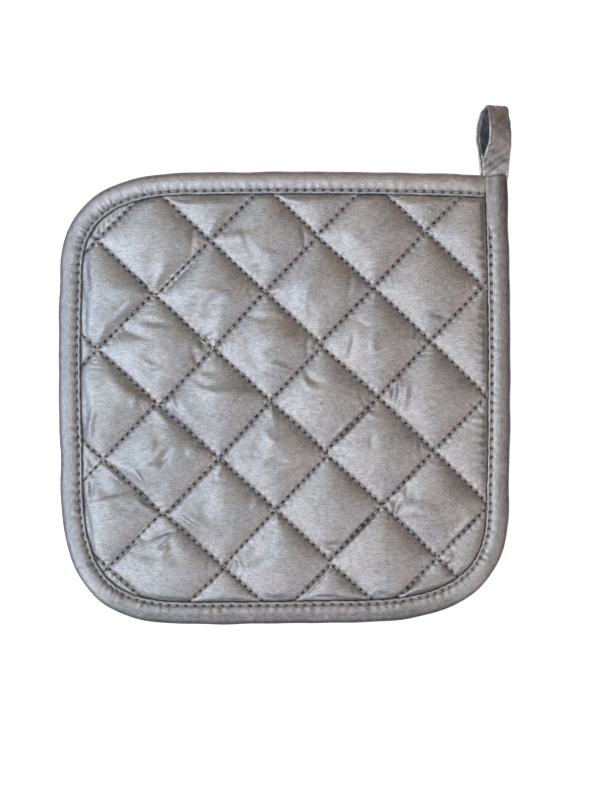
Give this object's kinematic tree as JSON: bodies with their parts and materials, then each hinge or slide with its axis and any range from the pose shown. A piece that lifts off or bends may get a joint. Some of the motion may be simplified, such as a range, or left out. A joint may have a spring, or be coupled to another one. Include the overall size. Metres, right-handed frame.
{
  "type": "quilted pot holder",
  "caption": "Square quilted pot holder in silver-grey coated cotton, with a folded binding, rounded corners and a hanging loop at one square corner.",
  "frame": {"origin": "middle of the rectangle that holds the body and its loop, on the surface that the back rests on", "axes": "+Z out of the front face; +Y towards the edge with the hanging loop, along the right-hand binding; +X towards the side that carries the loop"},
  "size_m": [0.1999, 0.2296, 0.016],
  "materials": {
    "quilted_cloth": "cotton with a pearly silver heat coating, fine grain, soft metallic sheen",
    "binding_cloth": "the same silver-coated cotton, cut as a strip and folded"
  },
  "bodies": {
    "root": {"quilted_pad": "quilted_cloth", "binding": "binding_cloth", "hanging_loop": "binding_cloth"}
  },
  "joints": []
}
